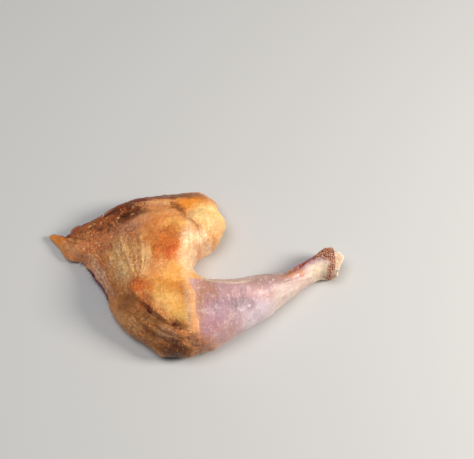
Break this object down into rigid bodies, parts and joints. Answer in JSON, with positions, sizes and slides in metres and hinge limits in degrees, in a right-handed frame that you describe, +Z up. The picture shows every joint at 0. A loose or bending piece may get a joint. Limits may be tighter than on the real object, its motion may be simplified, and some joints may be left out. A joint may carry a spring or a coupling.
{
  "type": "raw guinea fowl leg",
  "caption": "Raw guinea fowl leg with its skin on, lying skin side up: thigh, bent knee and drumstick, with the shank bone showing at the cut hock.",
  "frame": {"origin": "middle of the bounding box in plan, on the surface that the leg lies on", "axes": "+X from the hip flap to the hock, +Y from the knee to the cut hip edge, +Z up, out of the skin side"},
  "size_m": [0.1962, 0.121, 0.0325],
  "materials": {
    "skin": "moist, satin",
    "cartilage": "moist, satin"
  },
  "bodies": {
    "root": {"leg": "skin", "bone": "cartilage"}
  },
  "joints": []
}
